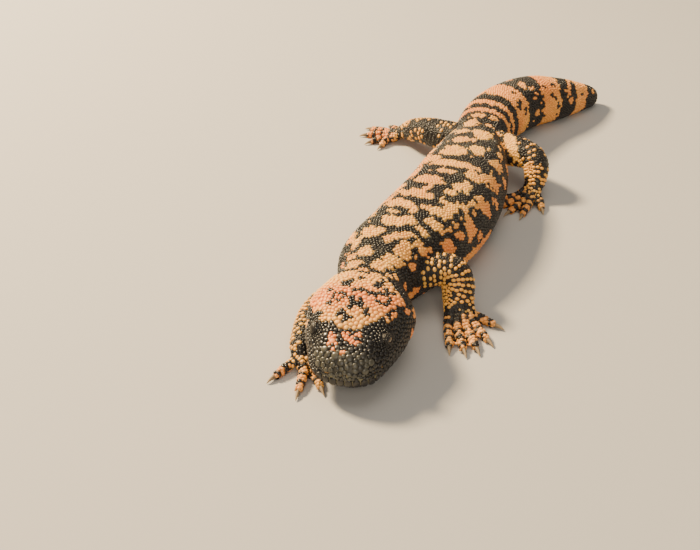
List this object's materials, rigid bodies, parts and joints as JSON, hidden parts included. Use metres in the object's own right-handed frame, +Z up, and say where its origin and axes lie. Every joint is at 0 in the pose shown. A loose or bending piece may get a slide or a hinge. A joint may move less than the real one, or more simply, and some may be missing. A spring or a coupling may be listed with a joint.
{
  "type": "gila monster",
  "caption": "Stocky desert lizard lying flat on four splayed legs, with a broad blunt head, beaded skin, clawed toes and a short thick tail bent to one side.",
  "frame": {"origin": "middle of the whole animal's box in plan, at the level it rests on", "axes": "+Z up; the animal faces -Y, its tail points along +Y, and its left side is towards +X"},
  "size_m": [0.1832, 0.4344, 0.0473],
  "materials": {
    "skin_peach": "beaded hide, pale peach",
    "skin_salmon": "beaded hide, salmon",
    "skin_black": "beaded hide, black",
    "claw_horn": "worn horn",
    "eye_dark": "wet gloss"
  },
  "bodies": {
    "root": {"head": "skin_salmon", "lower_jaw": "skin_black", "eye_left": "eye_dark", "eye_right": "eye_dark", "neck": "skin_peach", "chest": "skin_peach", "belly": "skin_peach", "pelvis": "skin_peach", "tail_base": "skin_peach", "tail_middle": "skin_peach", "tail_tip": "skin_peach", "upper_arm_left": "skin_black", "forearm_left": "skin_black", "forefoot_left": "skin_black", "upper_arm_right": "skin_black", "forearm_right": "skin_black", "forefoot_right": "skin_black", "thigh_left": "skin_black", "shank_left": "skin_black", "hindfoot_left": "skin_black", "thigh_right": "skin_black", "shank_right": "skin_black", "hindfoot_right": "skin_black", "claw_forefoot_left_1": "claw_horn", "claw_forefoot_left_2": "claw_horn", "claw_forefoot_left_3": "claw_horn", "claw_forefoot_left_4": "claw_horn", "claw_forefoot_left_5": "claw_horn", "claw_forefoot_right_1": "claw_horn", "claw_forefoot_right_2": "claw_horn", "claw_forefoot_right_3": "claw_horn", "claw_forefoot_right_4": "claw_horn", "claw_forefoot_right_5": "claw_horn", "claw_hindfoot_left_1": "claw_horn", "claw_hindfoot_left_2": "claw_horn", "claw_hindfoot_left_3": "claw_horn", "claw_hindfoot_left_4": "claw_horn", "claw_hindfoot_left_5": "claw_horn", "claw_hindfoot_right_1": "claw_horn", "claw_hindfoot_right_2": "claw_horn", "claw_hindfoot_right_3": "claw_horn", "claw_hindfoot_right_4": "claw_horn", "claw_hindfoot_right_5": "claw_horn"}
  },
  "joints": []
}
